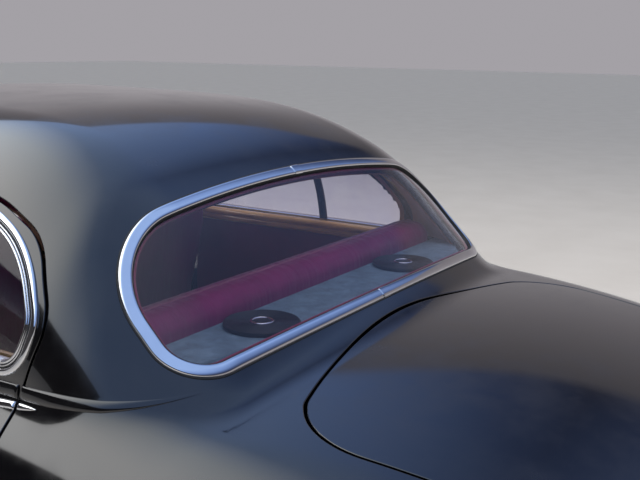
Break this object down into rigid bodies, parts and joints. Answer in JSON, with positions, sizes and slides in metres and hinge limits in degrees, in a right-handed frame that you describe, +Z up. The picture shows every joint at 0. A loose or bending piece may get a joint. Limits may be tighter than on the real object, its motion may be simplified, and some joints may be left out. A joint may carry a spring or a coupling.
{
  "type": "rear window section of a classic sedan body",
  "caption": "Rear part of a classic sedan body with wraparound rear window, parcel shelf, rear seat, hinged rear doors and hinged boot lid.",
  "frame": {"origin": "on the centre line, level with the lower edge of the sills, below the foot of the rear window", "axes": "+Y towards the car's front, +X to its right, +Z up"},
  "size_m": [1.668, 2.44, 1.0711],
  "materials": {
    "paint": "gloss black body paint under clear lacquer",
    "chrome": "polished chrome plate",
    "glass": "clear window glass with a faint violet tint",
    "rubber": "black glazing rubber",
    "leather": "wine red leather",
    "side_trim": "red-brown side trim",
    "wood": "golden lacquered wood",
    "shelf_carpet": "mottled grey-green carpet",
    "carpet": "dark red floor carpet",
    "headlining": "tan roof cloth",
    "underbody": "satin black underbody paint",
    "speaker": "black speaker grille",
    "lamp": "red lamp lens",
    "steel": "bare hinge steel"
  },
  "bodies": {
    "body_section": {"bright_joint_covers": "chrome", "centre_post_left": "paint", "centre_post_right": "paint", "floor_pan": "carpet", "lid_hinge_seats": "steel", "parcel_shelf": "shelf_carpet", "post_hinges": "steel", "rear_quarter_left": "paint", "rear_quarter_right": "paint", "rear_seat_back": "leather", "rear_seat_cushion": "leather", "rear_shroud": "paint", "rear_window_glass": "glass", "rear_window_seal": "rubber", "roof_lining": "headlining", "roof_panel": "paint", "seat_bulkhead": "underbody", "sill_left": "paint", "sill_right": "paint", "speakers": "speaker", "tail_lamps": "lamp", "tail_panel": "paint", "wheel_cover_left": "paint", "wheel_cover_right": "paint", "wheel_house_left": "underbody", "wheel_house_right": "underbody", "window_bright_left": "chrome", "window_bright_right": "chrome"},
    "left_door": {"door_glass_left": "glass", "door_handle_left": "chrome", "door_hinges_left": "steel", "door_lever_left": "chrome", "door_trim_left": "side_trim", "door_window_frame_left": "chrome", "door_wood_rail_left": "wood", "quarter_glass_left": "glass", "rear_door_left": "paint"},
    "right_door": {"door_glass_right": "glass", "door_handle_right": "chrome", "door_hinges_right": "steel", "door_lever_right": "chrome", "door_trim_right": "side_trim", "door_window_frame_right": "chrome", "door_wood_rail_right": "wood", "quarter_glass_right": "glass", "rear_door_right": "paint"},
    "boot_lid": {"boot_lid": "paint", "lid_handle": "chrome", "lid_hinges": "steel"}
  },
  "joints": [
    {"name": "left_door_swing", "type": "hinge", "parent": "body_section", "child": "left_door", "pos_m": [-0.808, 1.128, 0.33], "axis": [0, 0, -1], "range_deg": [0, 65]},
    {"name": "right_door_swing", "type": "hinge", "parent": "body_section", "child": "right_door", "pos_m": [0.808, 1.128, 0.33], "axis": [0, 0, 1], "range_deg": [0, 65]},
    {"name": "boot_lid_lift", "type": "hinge", "parent": "body_section", "child": "boot_lid", "pos_m": [0, -0.03882, 0.6223], "axis": [-1, 0, 0], "range_deg": [0, 62]}
  ]
}
